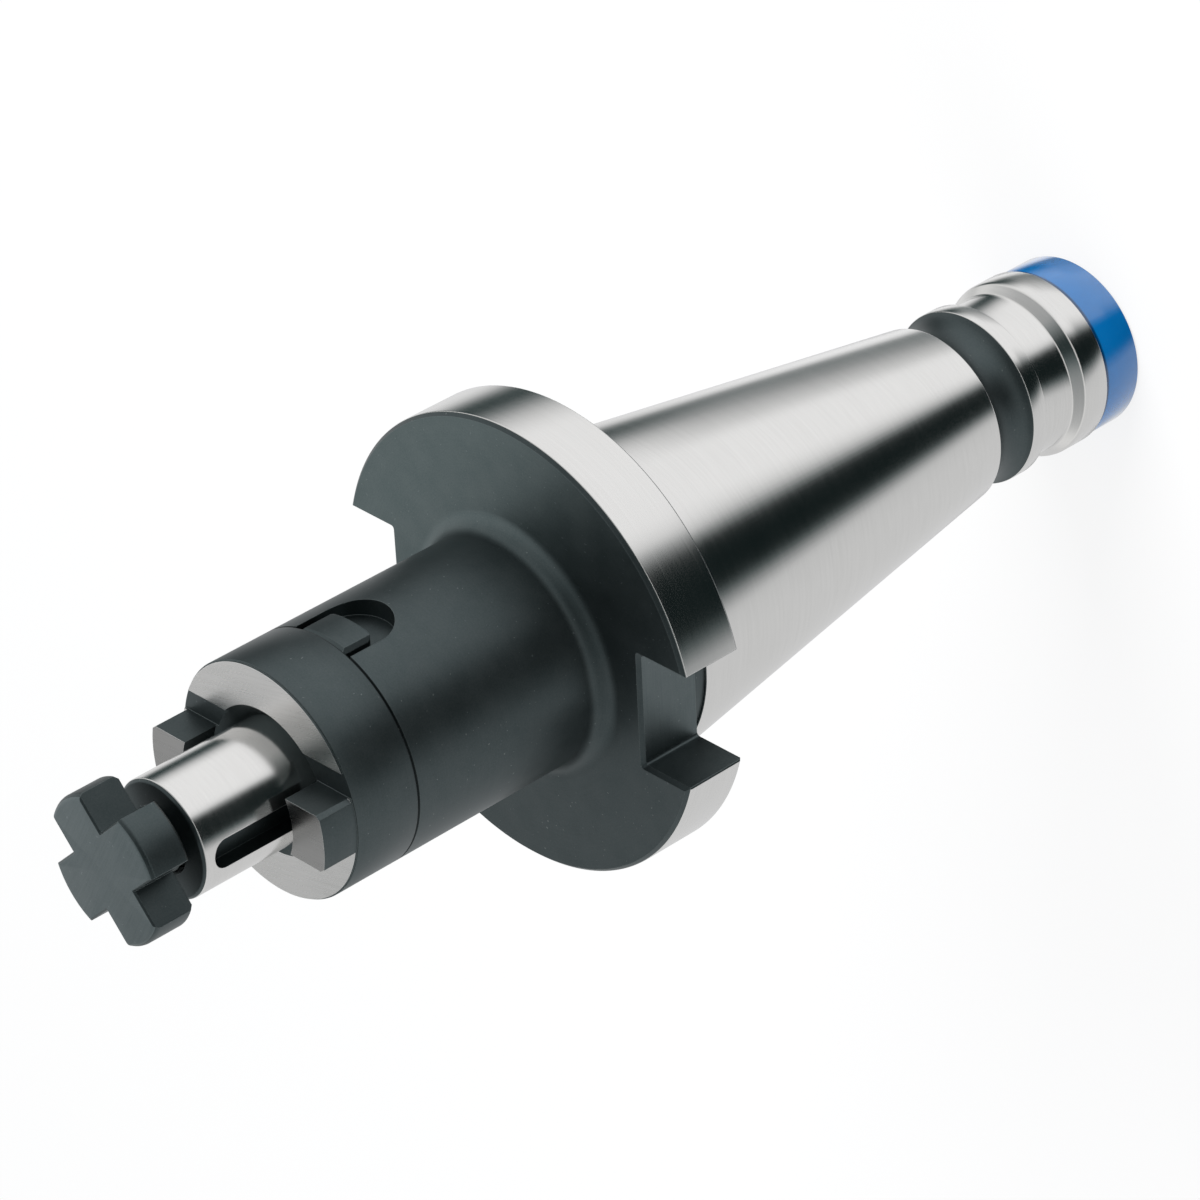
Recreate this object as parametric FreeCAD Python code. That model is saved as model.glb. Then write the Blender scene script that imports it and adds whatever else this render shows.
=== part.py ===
import FreeCAD, Part
import math
import os

# Shell mill arbor with a steep taper shank: one turned and milled body, a driving ring that
# slides on the pilot, a clamp screw and a colour ring on the tail. Millimetres, +Z towards the
# cutter, origin on the axis at the gauge plane of the taper, X along the flange's drive slots.

# Steep taper shank, 7 in 24 on the diameter; its ground cone stops short of the gauge plane
# at a relieved neck
GAUGE_R = 22.225
TAPER_RATE = 7.0 / 24.0 / 2.0
TAPER_LENGTH = 65.4
TAPER_FRONT = -0.8
TAPER_FRONT_EDGE = 0.2
NECK_R = 21.7

# Tail: waist, ground guide ring, groove, collar and the seat of the colour ring
WAIST_LENGTH = 6.5
WAIST_R = 11.3
GUIDE_R = 12.5
GUIDE_LENGTH = 2.9
GUIDE_CHAMFER = 0.3
GROOVE_R = 11.4
GROOVE_LENGTH = 6.2
COLLAR_R = 12.7
COLLAR_LENGTH = 4.4
COLOUR_RING_LENGTH = 6.7
COLOUR_RING_STEP = 0.3
COLOUR_RING_EDGE = 0.3
SPIGOT_R = 10.7

# Draw-bar hole in the tail, M16
DRAW_TAP_R = 7.0
DRAW_THREAD_R = 8.0
DRAW_DEPTH = 40.0
DRAW_MOUTH_R = 8.6
DRAW_MOUTH_DEPTH = 4.0
DRILL_POINT_ANGLE = 118.0

# Flange with two drive slots
FLANGE_R = 31.5
FLANGE_BACK = 1.6
FLANGE_FRONT = 11.0
FLANGE_CHAMFER = 0.5
DRIVE_SLOT_WIDTH = 16.1
DRIVE_SLOT_FLOOR = 22.5
DRIVE_SLOT_CORNER = 0.5
DRIVE_SLOT_CHAMFER = 0.5
DRIVE_SLOT_RIM_CHAMFER = 0.2

# Shoulder behind the driving ring, with two slots for the ring's rear lugs
SHOULDER_R = 16.0
SHOULDER_FRONT = 42.0
SHOULDER_FILLET = 2.6
SHOULDER_EDGE = 0.2
SHOULDER_SLOT_WIDTH = 10.0
SHOULDER_SLOT_DEPTH = 2.5
SHOULDER_SLOT_END = 31.8

# Pilot with its closed keyway and the clamp screw's hole, M8
PILOT_R = 8.0
PILOT_END = 69.0
PILOT_CHAMFER = 0.4
KEYWAY_WIDTH = 4.0
KEYWAY_DEPTH = 2.5
KEYWAY_LENGTH = 20.0
KEYWAY_FRONT = 67.3
SCREW_R = 4.0
SCREW_FIT = 0.06
SCREW_HOLE_DEPTH = 24.0
SCREW_HOLE_MOUTH = 0.5

# Driving ring with two front and two rear lugs, stored turned a little within its play in the
# shoulder's slots
RING_TURN = 0.8
RING_LENGTH = 10.0
RING_FIT = 0.03
RING_BORE_BACK_CHAMFER = 0.5
RING_RECESS_GAP = 2.1
RING_EDGE_STEP = 0.2
LUG_WIDTH = 8.0
LUG_HEIGHT = 5.0
LUG_CHAMFER = 0.5
REAR_LUG_GAP = 0.2
REAR_LUG_CORNER = 1.0
REAR_ROOT_DEPTH = 0.35
REAR_ROOT_LENGTH = 0.7
FACE_CUT_MARGIN = 3.12
FACE_CUT_DEPTH = 0.25

# Clamp screw with a cruciform head
HEAD_R = 10.0
HEAD_LENGTH = 5.9
HEAD_STAND_OFF = 3.0
HEAD_CHAMFER = 0.5
HEAD_ARM_WIDTH = 8.0
# The screw is stored turned as it was left, so its arms stand skew to the flange's slots
HEAD_TURN = 43.0
SCREW_LENGTH = 16.0
SCREW_END_CHAMFER = 0.7

# Reach of the cutting blocks, and the angle that keeps a turned blank's seam clear of its lugs
FAR = 60.0
SEAM_TURN = 45.0

# Radii that follow from the shoulder and the pilot
SHOULDER_SLOT_FLOOR = SHOULDER_R - SHOULDER_SLOT_DEPTH
RING_BORE_R = PILOT_R + RING_FIT
RING_RECESS_R = PILOT_R + RING_RECESS_GAP
RING_EDGE_R = SHOULDER_R - RING_EDGE_STEP

# Levels along the axis behind the taper
TAPER_END = -TAPER_LENGTH
GUIDE_FRONT = TAPER_END - WAIST_LENGTH
GUIDE_BACK = GUIDE_FRONT - GUIDE_LENGTH
GROOVE_BACK = GUIDE_BACK - GROOVE_LENGTH
COLLAR_FRONT = GROOVE_BACK - (COLLAR_R - GROOVE_R)
COLLAR_BACK = COLLAR_FRONT - COLLAR_LENGTH
TAIL = COLLAR_BACK - COLOUR_RING_LENGTH


def at(r, z):
    return FreeCAD.Vector(r, 0, z)


def line(start, end):
    return Part.LineSegment(at(*start), at(*end)).toShape()


def arc(start, middle, end):
    return Part.Arc(at(*start), at(*middle), at(*end)).toShape()


def turned(corners, hollows=None):
    """Turn a closed outline of (radius, height) corners; hollows gives the middle of a curved edge."""
    hollows = hollows or {}
    edges = []
    for index, start in enumerate(corners):
        end = corners[(index + 1) % len(corners)]
        if index in hollows:
            edges.append(arc(start, hollows[index], end))
        else:
            edges.append(line(start, end))
    face = Part.Face(Part.Wire(edges))
    return face.revolve(at(0, 0), FreeCAD.Vector(0, 0, 1), 360)


def block(x0, x1, y0, y1, z0, z1):
    return Part.makeBox(x1 - x0, y1 - y0, z1 - z0, FreeCAD.Vector(x0, y0, z0))


def turned_about(shape, degrees):
    """A copy of the shape, turned about the Z axis."""
    copy = shape.copy()
    copy.rotate(FreeCAD.Vector(0, 0, 0), FreeCAD.Vector(0, 0, 1), degrees)
    return copy


def edges_where(shape, test):
    return [edge for edge in shape.Edges if test(edge.BoundBox)]


def drill_tip(radius):
    return radius / math.tan(math.radians(DRILL_POINT_ANGLE / 2))


def hollow_middle(centre, radius, degrees):
    angle = math.radians(degrees)
    return (centre[0] + radius * math.cos(angle), centre[1] + radius * math.sin(angle))


def body_blank():
    """The turned outline of the whole arbor body, from the tail to the pilot's end."""
    taper_back_r = GAUGE_R - TAPER_RATE * TAPER_LENGTH
    taper_top = TAPER_FRONT - TAPER_FRONT_EDGE
    taper_top_r = GAUGE_R + TAPER_RATE * taper_top
    root_centre = (SHOULDER_R + SHOULDER_FILLET, FLANGE_FRONT + SHOULDER_FILLET)
    corners = [
        (0, TAIL),
        (SPIGOT_R, TAIL),
        (SPIGOT_R, COLLAR_BACK),
        (COLLAR_R, COLLAR_BACK),
        (COLLAR_R, COLLAR_FRONT),
        (GROOVE_R, GROOVE_BACK),
        (GROOVE_R, GUIDE_BACK),
        (GUIDE_R, GUIDE_BACK),
        (GUIDE_R, GUIDE_FRONT - GUIDE_CHAMFER),
        (GUIDE_R - GUIDE_CHAMFER, GUIDE_FRONT),
        (taper_back_r, TAPER_END),
        (taper_top_r, taper_top),
        (taper_top_r - TAPER_FRONT_EDGE, TAPER_FRONT),
        (NECK_R, TAPER_FRONT),
        (NECK_R, FLANGE_BACK),
        (FLANGE_R, FLANGE_BACK),
        (FLANGE_R, FLANGE_FRONT - FLANGE_CHAMFER),
        (FLANGE_R - FLANGE_CHAMFER, FLANGE_FRONT),
        (root_centre[0], FLANGE_FRONT),
        (SHOULDER_R, root_centre[1]),
        (SHOULDER_R, SHOULDER_FRONT - SHOULDER_EDGE),
        (SHOULDER_R - SHOULDER_EDGE, SHOULDER_FRONT),
        (PILOT_R, SHOULDER_FRONT),
        (PILOT_R, PILOT_END - PILOT_CHAMFER),
        (PILOT_R - PILOT_CHAMFER, PILOT_END),
        (0, PILOT_END),
    ]
    hollows = {
        9: (WAIST_R, (TAPER_END + GUIDE_FRONT) / 2),
        18: hollow_middle(root_centre, SHOULDER_FILLET, 225),
    }
    return turned(corners, hollows)


def draw_bar_hole():
    mouth = TAIL + DRAW_MOUTH_DEPTH
    top = TAIL + DRAW_DEPTH
    corners = [
        (0, TAIL - 1),
        (DRAW_MOUTH_R, TAIL - 1),
        (DRAW_MOUTH_R, mouth),
        (DRAW_THREAD_R, mouth),
        (DRAW_TAP_R, mouth + DRAW_THREAD_R - DRAW_TAP_R),
        (DRAW_TAP_R, top),
        (0, top + drill_tip(DRAW_TAP_R)),
    ]
    return turned(corners)


def screw_hole():
    radius = SCREW_R + SCREW_FIT
    bottom = PILOT_END - SCREW_HOLE_DEPTH
    corners = [
        (0, PILOT_END + 1),
        (radius + SCREW_HOLE_MOUTH + 1, PILOT_END + 1),
        (radius, PILOT_END - SCREW_HOLE_MOUTH),
        (radius, bottom),
        (0, bottom - drill_tip(radius)),
    ]
    return turned(corners)


def drive_slot():
    """One open slot across the flange; its floor lies just outside the taper's large end."""
    half = DRIVE_SLOT_WIDTH / 2
    slot = block(DRIVE_SLOT_FLOOR, FAR, -half, half, FLANGE_BACK - 1, FLANGE_FRONT + 1)
    corners = edges_where(slot, lambda b: b.XMax < DRIVE_SLOT_FLOOR + 0.1 and b.ZLength > 1 and b.YLength < 0.1)
    return slot.makeFillet(DRIVE_SLOT_CORNER, corners)


def shoulder_slot():
    """End-milled slot, open at the shoulder's front face and round at its closed end."""
    half = SHOULDER_SLOT_WIDTH / 2
    centre = SHOULDER_SLOT_END + half
    straight = block(-half, half, SHOULDER_SLOT_FLOOR, SHOULDER_R + 1, centre, SHOULDER_FRONT + 1)
    start = FreeCAD.Vector(0, SHOULDER_SLOT_FLOOR, centre)
    height = SHOULDER_R + 1 - SHOULDER_SLOT_FLOOR
    end = Part.makeCylinder(half, height, start, FreeCAD.Vector(0, 1, 0))
    return straight.fuse(end)


def keyway():
    """Closed keyway with two round ends."""
    half = KEYWAY_WIDTH / 2
    floor = PILOT_R - KEYWAY_DEPTH
    front = KEYWAY_FRONT - half
    back = KEYWAY_FRONT - KEYWAY_LENGTH + half
    height = KEYWAY_DEPTH + 1
    along = FreeCAD.Vector(1, 0, 0)
    pocket = block(floor, floor + height, -half, half, back, front)
    for z in (front, back):
        pocket = pocket.fuse(Part.makeCylinder(half, height, FreeCAD.Vector(floor, 0, z), along))
    return pocket


def slot_front_edges(shape):
    """The drive slots' edges on the flange's front face."""
    half = DRIVE_SLOT_WIDTH / 2 + 0.1

    def chosen(b):
        level = abs(b.ZMin - FLANGE_FRONT) < 0.01 and b.ZLength < 0.01
        beside = max(abs(b.YMin), abs(b.YMax)) < half
        outside = min(abs(b.XMin), abs(b.XMax)) > DRIVE_SLOT_FLOOR - 0.1
        return level and beside and outside
    return edges_where(shape, chosen)


def slot_rim_edges(shape):
    """The drive slots' edges on the flange's rim."""

    def chosen(b):
        upright = b.ZLength > 1 and b.XLength < 0.01 and b.YLength < 0.01
        return upright and abs(math.hypot(b.XMin, b.YMin) - FLANGE_R) < 0.01
    return edges_where(shape, chosen)


def arbor_body():
    body = body_blank()
    tools = [draw_bar_hole(), screw_hole(), keyway()]
    for turn in (0, 180):
        tools.append(turned_about(drive_slot(), turn))
        tools.append(turned_about(shoulder_slot(), turn))
    for tool in tools:
        body = body.cut(tool)
    body = body.makeChamfer(DRIVE_SLOT_RIM_CHAMFER, slot_rim_edges(body))
    return body.makeChamfer(DRIVE_SLOT_CHAMFER, slot_front_edges(body))


def ring_blank():
    back = SHOULDER_FRONT
    front = back + RING_LENGTH
    flare = front - (RING_RECESS_R - RING_BORE_R)
    back_bore = RING_BORE_R + RING_BORE_BACK_CHAMFER
    corners = [
        (RING_BORE_R, back + RING_BORE_BACK_CHAMFER),
        (RING_BORE_R, flare),
        (RING_RECESS_R, front),
        (RING_RECESS_R, front + LUG_HEIGHT),
        (RING_EDGE_R, front + LUG_HEIGHT),
        (RING_EDGE_R, front - FACE_CUT_DEPTH),
        (SHOULDER_R, front - FACE_CUT_DEPTH),
        (SHOULDER_R, back),
        (RING_EDGE_R - REAR_ROOT_DEPTH, back),
        (RING_EDGE_R, back - REAR_ROOT_LENGTH),
        (RING_EDGE_R, back - LUG_HEIGHT),
        (back_bore, back - LUG_HEIGHT),
        (back_bore, back),
    ]
    return turned_about(turned(corners), SEAM_TURN)


def front_lug_waste():
    """What the mill takes from above the ring's front face: all but two lugs, a little deeper beside them."""
    face = SHOULDER_FRONT + RING_LENGTH
    half = LUG_WIDTH / 2
    cut = half + FACE_CUT_MARGIN
    waste = block(-FAR, FAR, half, FAR, face, FAR + face)
    waste = waste.fuse(block(-FAR, FAR, half, cut, face - FACE_CUT_DEPTH, face + 1)).removeSplitter()
    return waste.fuse(turned_about(waste, 180))


def rear_lug_waste():
    """The same behind the ring's back face, for the lugs that sit in the shoulder's slots."""
    face = SHOULDER_FRONT
    half = LUG_WIDTH / 2
    inner = SHOULDER_SLOT_FLOOR + REAR_LUG_GAP
    waste = block(half, FAR, -FAR, FAR, -FAR, face)
    waste = waste.fuse(turned_about(waste, 180))
    return waste.fuse(block(-FAR, FAR, -inner, inner, -FAR, face))


def long_lug_edge(b):
    """The lugs' long outer edges, parallel to the axis, which carry a small chamfer."""
    upright = b.ZLength > LUG_HEIGHT - REAR_ROOT_LENGTH - 0.1 and b.XLength < 0.01 and b.YLength < 0.01
    outermost = abs(math.hypot(b.XMin, b.YMin) - RING_EDGE_R) < 0.1
    return upright and outermost


def rear_lug_end_edge(b):
    """The short radial edges at the back end of the rear lugs, which are rounded."""
    at_end = abs(b.ZMax - (SHOULDER_FRONT - LUG_HEIGHT)) < 0.01 and b.ZLength < 0.01
    at_side = abs(max(abs(b.XMin), abs(b.XMax)) - LUG_WIDTH / 2) < 0.01
    return at_end and at_side and b.XLength < 0.01


def driving_ring():
    ring = ring_blank().cut(front_lug_waste())
    ring = ring.cut(rear_lug_waste()).removeSplitter()
    ring = ring.makeChamfer(LUG_CHAMFER, edges_where(ring, long_lug_edge))
    ring = ring.makeFillet(REAR_LUG_CORNER, edges_where(ring, rear_lug_end_edge))
    return turned_about(ring, RING_TURN)


def head_notch():
    half = HEAD_ARM_WIDTH / 2
    back = PILOT_END + HEAD_STAND_OFF
    return block(half, FAR, half, FAR, back - 1, back + HEAD_LENGTH + 1)


def clamp_screw():
    back = PILOT_END + HEAD_STAND_OFF
    front = back + HEAD_LENGTH
    end = back - SCREW_LENGTH
    corners = [
        (0, end),
        (SCREW_R - SCREW_END_CHAMFER, end),
        (SCREW_R, end + SCREW_END_CHAMFER),
        (SCREW_R, back),
        (HEAD_R - HEAD_CHAMFER, back),
        (HEAD_R, back + HEAD_CHAMFER),
        (HEAD_R, front - HEAD_CHAMFER),
        (HEAD_R - HEAD_CHAMFER, front),
        (0, front),
    ]
    screw = turned(corners)
    for turn in (0, 90, 180, 270):
        screw = screw.cut(turned_about(head_notch(), turn))
    return turned_about(screw, HEAD_TURN)


def colour_ring():
    outer = COLLAR_R - COLOUR_RING_STEP
    corners = [
        (SPIGOT_R, TAIL),
        (outer - COLOUR_RING_EDGE, TAIL),
        (outer, TAIL + COLOUR_RING_EDGE),
        (outer, COLLAR_BACK),
        (SPIGOT_R, COLLAR_BACK),
    ]
    return turned(corners)


NODES = {
    "arbor_body": arbor_body,
    "driving_ring": driving_ring,
    "clamp_screw": clamp_screw,
    "colour_ring": colour_ring,
}

os.makedirs("parts", exist_ok=True)
for name, make in NODES.items():
    make().exportStep("parts/" + name + ".step")
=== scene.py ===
import math

import bmesh
import bpy
from mathutils import Matrix, Quaternion, Vector


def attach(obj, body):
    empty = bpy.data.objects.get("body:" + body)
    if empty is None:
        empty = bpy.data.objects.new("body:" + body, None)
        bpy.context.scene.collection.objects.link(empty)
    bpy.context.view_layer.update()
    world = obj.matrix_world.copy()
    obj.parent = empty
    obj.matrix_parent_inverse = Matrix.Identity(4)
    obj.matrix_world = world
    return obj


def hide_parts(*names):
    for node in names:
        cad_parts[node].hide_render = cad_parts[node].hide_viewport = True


# The looks of a shell mill arbor: ground steel, black oxide and a blue ring on the tail.
# Sizes are millimetres in the part's own frame, turned into metres as each mesh is made.
MM = 0.001
TURNED_STEPS = 192
THREAD_STEPS = 48

# Degrees between two faces from which their edge is shaded sharp
SHARP_FROM = 24.0

# Steep taper and tail
GAUGE_R = 22.225
TAPER_RATE = 7 / 48
TAPER_BACK = -65.4
TAPER_SMALL_R = GAUGE_R + TAPER_RATE * TAPER_BACK
TAPER_FRONT = -0.8
TAPER_EDGE = 0.2
TAPER_TOP = TAPER_FRONT - TAPER_EDGE
TAPER_TOP_R = GAUGE_R + TAPER_RATE * TAPER_TOP
NECK_R = 21.7
WAIST_R = 11.3
GUIDE_FRONT = -71.9
GUIDE_BACK = -74.8
GUIDE_R = 12.5
GUIDE_CHAMFER = 0.3
GROOVE_BACK = -81.0
GROOVE_R = 11.4
COLLAR_R = 12.7
COLLAR_FRONT = GROOVE_BACK - (COLLAR_R - GROOVE_R)
COLLAR_BACK = COLLAR_FRONT - 4.4
TAIL = COLLAR_BACK - 6.7
SPIGOT_R = 10.7
COLOUR_RING_R = 12.4

# Draw-bar hole, M16 with 2 mm pitch
DRAW_MOUTH_R = 8.6
DRAW_MOUTH = TAIL + 4
DRAW_TAP_R = 7.0
DRAW_THREAD_R = 8.0
DRAW_PITCH = 2.0
DRAW_END = TAIL + 40

# Flange and shoulder
FLANGE_R = 31.5
FLANGE_BACK = 1.6
FLANGE_FRONT = 11.0
FLANGE_BACK_CHAMFER = 0.4
FLANGE_FRONT_CHAMFER = 0.5
SLOT_HALF = 8.05
SLOT_FLOOR = 22.5
SLOT_CORNER = 0.5
SLOT_CHAMFER = 0.5
SLOT_RIM_CHAMFER = 0.2
SLOT_RIM_SLOPE = 51.7
SHOULDER_R = 16.0
SHOULDER_FRONT = 42.0
SHOULDER_EDGE = 0.2
SHOULDER_SLOT_HALF = 5.0
SHOULDER_SLOT_FLOOR = 13.5
SHOULDER_SLOT_BACK = 31.8
ROOT_FILLET = 2.6

# Pilot
PILOT_R = 8.0
PILOT_END = 69.0
PILOT_CHAMFER = 0.4
KEYWAY_FRONT = 67.3
KEYWAY_BACK = 47.3
KEYWAY_FLOOR = 5.5
KEYWAY_HALF = 2.0
SCREW_HOLE_R = 4.06
SCREW_HOLE_END = 45.0
SCREW_HOLE_CHAMFER = 0.5
SCREW_THREAD_END = SCREW_HOLE_END + 4.1
DRILL_HALF_ANGLE = 59.0

# Driving ring, turned a little within its play
RING_TURN = 0.8
RING_FRONT = 52.0
RING_BORE_R = 8.03
RING_BACK_CHAMFER = 0.5
RING_RECESS_R = 10.1
RING_EDGE_R = 15.8
LUG_HALF = 4.0
LUG_HEIGHT = 5.0
LUG_CHAMFER = 0.5
LUG_SUNK = 0.35
REAR_LUG_INNER = 13.7
REAR_LUG_ROUND = 1.0
RELIEF_EDGE = 7.12
RELIEF_DEPTH = 0.25

# Clamp screw, M8 with 1.25 mm pitch
HEAD_R = 10.0
HEAD_BACK = 72.0
HEAD_FRONT = 77.9
HEAD_ARM_HALF = 4.0
HEAD_CHAMFER = 0.5
HEAD_TURN = 43.0
SCREW_END = 56.0
SCREW_R = 4.0
SCREW_ROOT_R = 3.35
SCREW_PITCH = 1.25
SCREW_POINT = 0.75

# Finishes of a piece's faces, in the order of its materials
# The fourth finish is painted shade, where the ring and the shoulder meet.
BLACK, STEEL, MILLED, SHADED_JOINT, FACE = range(5)


class Value:
    """A node's output, which sums and products in plain Python turn into Math nodes."""

    def __init__(self, nodes, socket):
        self.nodes = nodes
        self.socket = socket

    def __add__(self, other):
        return self.nodes.reckon("ADD", self, other)

    def __sub__(self, other):
        return self.nodes.reckon("SUBTRACT", self, other)

    def __mul__(self, other):
        return self.nodes.reckon("MULTIPLY", self, other)

    def __rsub__(self, other):
        return self.nodes.reckon("SUBTRACT", other, self)

    __radd__ = __add__
    __rmul__ = __mul__


class Nodes:
    """The node tree of a material or of the world."""

    def __init__(self, owner):
        owner.use_nodes = True
        self.tree = owner.node_tree
        self.tree.nodes.clear()

    def node(self, kind, settings, sockets, output=0):
        """A node of this kind, its settings first, then the values or links of its sockets."""
        made = self.tree.nodes.new(kind)
        for name, value in settings.items():
            if name == "stops":
                self.set_stops(made.color_ramp, value)
            else:
                setattr(made, name, value)
        for name, value in sockets.items():
            if isinstance(value, Value):
                self.tree.links.new(value.socket, made.inputs[name])
            else:
                made.inputs[name].default_value = value
        return Value(self, made.outputs[output]) if made.outputs else made

    def set_stops(self, ramp, stops):
        """Greys that grow colder as they darken: red falls by up to half below a level of 0.1."""
        while len(ramp.elements) < len(stops):
            ramp.elements.new(1.0)
        for element, (place, level) in zip(ramp.elements, stops):
            red = level * (1 - 0.48 * 0.5 ** (level / 0.1))
            element.position = place
            element.color = (red, level, level * 1.01, 1.0)

    def place(self):
        return self.node("ShaderNodeTexCoord", {}, {}, "Object")

    def reckon(self, operation, first, second):
        return self.node("ShaderNodeMath", {"operation": operation}, {0: first, 1: second})

    def split(self, vector, axis):
        return self.node("ShaderNodeSeparateXYZ", {}, {0: vector}, axis)

    def joined(self, x, y, z):
        return self.node("ShaderNodeCombineXYZ", {}, {0: x, 1: y, 2: z})

    def noise(self, vector, scale, detail=2.0, rough=0.5):
        sockets = {"Vector": vector, "Scale": scale, "Detail": detail, "Roughness": rough}
        return self.node("ShaderNodeTexNoise", {}, sockets, "Fac")

    def spread(self, value, low, high, new_low=0.0, new_high=1.0):
        sockets = {0: value, 1: low, 2: high, 3: new_low, 4: new_high}
        return self.node("ShaderNodeMapRange", {}, sockets)

    def blend(self, factor, first, second):
        settings = {"data_type": "RGBA"}
        sockets = {0: factor, 6: first, 7: second}
        return self.node("ShaderNodeMix", settings, sockets, 2)

    def radius(self, place):
        """The distance from the axis."""
        without_z = {0: place, 1: (1.0, 1.0, 0.0)}
        flat = self.node("ShaderNodeVectorMath", {"operation": "MULTIPLY"}, without_z)
        return self.node("ShaderNodeVectorMath", {"operation": "LENGTH"}, {0: flat}, "Value")

    def turn(self, place):
        """The direction round Z as a share of a full turn, from 0 at minus X."""
        angle = self.reckon("ARCTAN2", self.split(place, "Y"), self.split(place, "X"))
        return angle * (0.5 / math.pi) + 0.5

    def dot(self, first, second):
        pair = {0: first, 1: second}
        return self.node("ShaderNodeVectorMath", {"operation": "DOT_PRODUCT"}, pair, "Value")

    def ramp(self, value, stops):
        return self.node("ShaderNodeValToRGB", {"stops": stops}, {"Fac": value})

    def eased(self, size):
        """The surface's direction as if its sharp edges were rounded by this much."""
        return self.node("ShaderNodeBevel", {"samples": 6}, {"Radius": size * MM})

    def bump(self, height, strength, distance, onto):
        sockets = {"Height": height, "Strength": strength, "Distance": distance, "Normal": onto}
        return self.node("ShaderNodeBump", {}, sockets)


def surface(nodes, fixed, varying):
    shader = nodes.node("ShaderNodeBsdfPrincipled", {}, {**fixed, **varying})
    nodes.node("ShaderNodeOutputMaterial", {}, {"Surface": shader})


def turned_marks(nodes, place, fine, along):
    """Marks that run round the axis, on walls and on faces alike."""
    out = nodes.radius(place) * fine
    up = nodes.split(place, "Z") * fine
    marks = nodes.joined(out, up, nodes.turn(place) * along)
    return nodes.noise(marks, 1.0, 3.0, 0.6)


def straight_marks(nodes, place, degrees, fine, along):
    """Straight grinding or milling marks across a flat face."""
    rotation = (0.0, 0.0, -math.radians(degrees))
    lined_up = nodes.node("ShaderNodeMapping", {}, {"Vector": place, "Rotation": rotation})
    x, y, z = (nodes.split(lined_up, axis) for axis in "XYZ")
    return nodes.noise(nodes.joined(x * along, y * fine, z * fine), 1.0, 3.0, 0.65)


def rubbed_and_highlit_edges(nodes, rounded):
    """1 along sharp edges, lightened there by wear and a painted highlight, and 0 on open faces."""
    straight = nodes.node("ShaderNodeNewGeometry", {}, {}, "Normal")
    return nodes.spread(nodes.dot(straight, rounded), 0.985, 0.86)


def scaled(colour, level):
    """A colour with its red, green and blue taken this many times, and an alpha of 1."""
    return tuple(part * level for part in colour) + (1.0,)


def ground_steel(name, flat_turn=None, level=1.0):
    """Ground steel, its marks round the axis or straight at flat_turn degrees, its brightness at level."""
    steel = bpy.data.materials.new(name)
    nodes = Nodes(steel)
    place = nodes.place()
    rounded = nodes.eased(0.12)
    edges = rubbed_and_highlit_edges(nodes, rounded)
    if flat_turn is None:
        marks = turned_marks(nodes, place, 3200.0, 14.0)
        dark, light = (0.735, 0.73, 0.715), (0.785, 0.78, 0.765)
        dull, duller = 0.15, 0.20
    else:
        marks = straight_marks(nodes, place, flat_turn, 4200.0, 150.0)
        dark, light = (0.69, 0.685, 0.67), (0.81, 0.80, 0.785)
        dull, duller = 0.25, 0.31
    cloud = nodes.noise(place, 90.0, 3.0, 0.6)
    tone = nodes.spread(marks * 0.7 + cloud * 0.3, 0.3, 0.7)
    colour = nodes.blend(tone, scaled(dark, level), scaled(light, level))
    polish_and_painted_highlight = (0.93, 0.93, 0.92, 1.0)
    # Painted highlight along the sharp edges, partly real polish: the colour there blends to near-white.
    colour = nodes.blend(edges, colour, polish_and_painted_highlight)
    rough = nodes.spread(marks * 0.6 + cloud * 0.4, 0.3, 0.7, dull, duller) + edges * 0.12
    relief = nodes.bump(marks, 0.04, 0.00001, rounded)
    surface(nodes, {"Metallic": 1.0}, {"Base Color": colour, "Roughness": rough, "Normal": relief})
    return steel


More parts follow.
